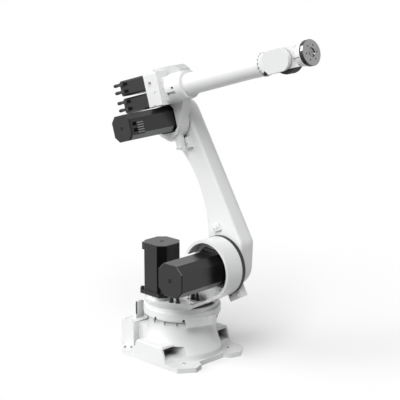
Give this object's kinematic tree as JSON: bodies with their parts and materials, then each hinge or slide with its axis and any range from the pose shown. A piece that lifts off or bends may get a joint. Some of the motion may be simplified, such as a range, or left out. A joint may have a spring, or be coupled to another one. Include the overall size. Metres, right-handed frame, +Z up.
{
  "type": "industrial robot arm",
  "caption": "Six-axis industrial robot arm: cast floor base with fork pockets, turning turret, curved lower arm, elbow with motors, forearm tube, tilting wrist and round tool flange.",
  "frame": {"origin": "on the floor under the turning axis of the turret", "axes": "+Z up along the turning axis, +X forward in the plane of the arm, +Y to the arm's left"},
  "size_m": [1.3606, 0.578, 1.8759],
  "materials": {
    "white_paint": "satin",
    "cover_grey": "satin",
    "hood_grey": "satin",
    "motor_grey": "satin",
    "gearbox_dark": "satin",
    "black_plastic": "matte",
    "flange_metal": "satin"
  },
  "bodies": {
    "base": {"base_casting": "white_paint", "connector_box": "white_paint", "connector_panel": "black_plastic", "cable_duct": "white_paint", "axis_1_gearbox": "gearbox_dark"},
    "turret": {"turret_ring": "white_paint", "turret_upright": "white_paint", "axis_1_motor_flange": "motor_grey", "axis_1_motor": "motor_grey", "axis_1_motor_plug": "black_plastic", "axis_2_motor_flange": "motor_grey", "axis_2_motor": "motor_grey", "axis_2_gearbox": "gearbox_dark", "hose_bracket": "white_paint", "hose_couplings": "black_plastic"},
    "lower_arm": {"lower_arm_casting": "white_paint", "arm_shoulder_cap": "white_paint", "arm_elbow_cap": "white_paint", "arm_lug": "white_paint", "arm_stop": "white_paint", "elbow_bumper": "white_paint"},
    "elbow": {"elbow_casting": "white_paint", "axis_3_gearbox": "gearbox_dark", "elbow_stop": "white_paint", "axis_3_motor_flange": "motor_grey", "axis_3_motor": "motor_grey", "wrist_gear_case": "white_paint", "elbow_cover": "hood_grey", "axis_4_motor": "motor_grey", "axis_5_motor": "motor_grey", "axis_6_motor": "motor_grey", "wrist_motor_plugs": "black_plastic"},
    "forearm": {"forearm_collar": "white_paint", "forearm_tube": "white_paint", "forearm_nose": "white_paint", "wrist_end_flange": "white_paint", "wrist_housing": "white_paint", "wrist_cover_near": "cover_grey", "wrist_cover_far": "cover_grey", "wrist_port": "black_plastic"},
    "hand": {"hand_casting": "white_paint", "hand_guard": "black_plastic"},
    "flange": {"tool_flange": "flange_metal"}
  },
  "joints": [
    {"name": "axis_1", "type": "hinge", "parent": "base", "child": "turret", "pos_m": [0, 0, 0.236], "axis": [0, 0, 1], "range_deg": [-180, 180]},
    {"name": "axis_2", "type": "hinge", "parent": "turret", "child": "lower_arm", "pos_m": [0.22, 0, 0.541], "axis": [0, 1, 0], "range_deg": [-34.5, 80.5]},
    {"name": "axis_3", "type": "hinge", "parent": "lower_arm", "child": "elbow", "pos_m": [-0.14938, 0, 1.31542], "axis": [0, -1, 0], "range_deg": [-67, 148]},
    {"name": "axis_4", "type": "hinge", "parent": "elbow", "child": "forearm", "pos_m": [0.05178, 0, 1.54299], "axis": [0.9542, 0, 0.299], "range_deg": [-190, 190]},
    {"name": "axis_5", "type": "hinge", "parent": "forearm", "child": "hand", "pos_m": [0.75791, 0, 1.76428], "axis": [0, -1, 0], "range_deg": [-115, 115]},
    {"name": "axis_6", "type": "hinge", "parent": "hand", "child": "flange", "pos_m": [0.88769, 0, 1.80494], "axis": [0.9542, 0, 0.299], "range_deg": [-360, 360]}
  ]
}
